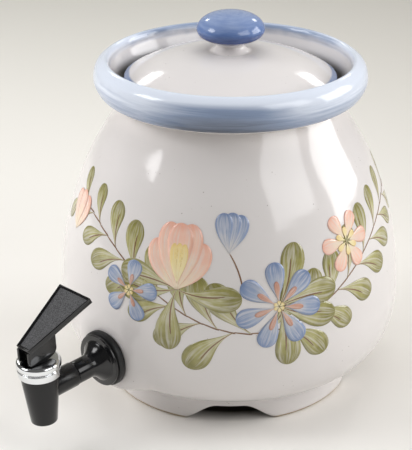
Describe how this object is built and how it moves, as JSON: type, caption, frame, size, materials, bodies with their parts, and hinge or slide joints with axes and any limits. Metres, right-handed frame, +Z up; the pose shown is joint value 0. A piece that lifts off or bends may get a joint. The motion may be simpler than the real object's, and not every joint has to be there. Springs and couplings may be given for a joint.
{
  "type": "stoneware drink crock with tap",
  "caption": "Round-bellied glazed stoneware drink crock with a loose domed lid, a rolled rim, a notched foot ring and a black lever tap with a chrome bonnet.",
  "frame": {"origin": "middle of the footprint's bounding box, on the plane of the foot ring; the crock's own axis stands 33.2 mm towards +Y from it", "axes": "+Z up, the tap points along -Y, and X = 0 is the plane of symmetry"},
  "size_m": [0.2218, 0.2884, 0.2465],
  "materials": {
    "crock": "clear glaze over warm white, slate-blue rim",
    "lid": "clear glaze over warm white, slate-blue edge and knob",
    "black_plastic": "moulded gloss",
    "handle_plastic": "gloss edges, grained panel",
    "nut_plastic": "moulded",
    "washer_plastic": "natural",
    "rubber": "matt",
    "silicone": "translucent natural",
    "stem_plastic": "natural acetal",
    "chrome": "polished plate",
    "steel": "drawn wire"
  },
  "bodies": {
    "crock_and_tap": {"crock": "crock", "outer_gasket": "rubber", "inner_gasket": "rubber", "friction_washer": "washer_plastic", "shank_nut": "nut_plastic", "shank": "black_plastic", "joint_o_ring": "rubber", "faucet_body": "black_plastic", "bonnet": "chrome", "seat_cup": "silicone", "return_spring": "steel"},
    "lid": {"lid": "lid"},
    "stem": {"stem": "stem_plastic"},
    "handle": {"handle": "handle_plastic", "handle_pin": "black_plastic"}
  },
  "joints": [
    {"name": "lid_lift", "type": "slide", "parent": "crock_and_tap", "child": "lid", "axis": [0, 0, 1], "range_m": [0, 0.08]},
    {"name": "stem_lift", "type": "slide", "parent": "crock_and_tap", "child": "stem", "axis": [0, -0.0576, 0.9983], "range_m": [0, 0.0044], "deforming": ["return_spring", "seat_cup"]},
    {"name": "handle_pull", "type": "hinge", "parent": "stem", "child": "handle", "pos_m": [0, -0.1308, 0.0705], "axis": [1, 0, 0], "range_deg": [0, 30], "stiffness_Nm_per_rad": 0.03, "springref_deg": -34.38}
  ],
  "couplings": [
    {"joint": "handle_pull", "follows": "stem_lift", "rad_per_m": 119.05}
  ]
}
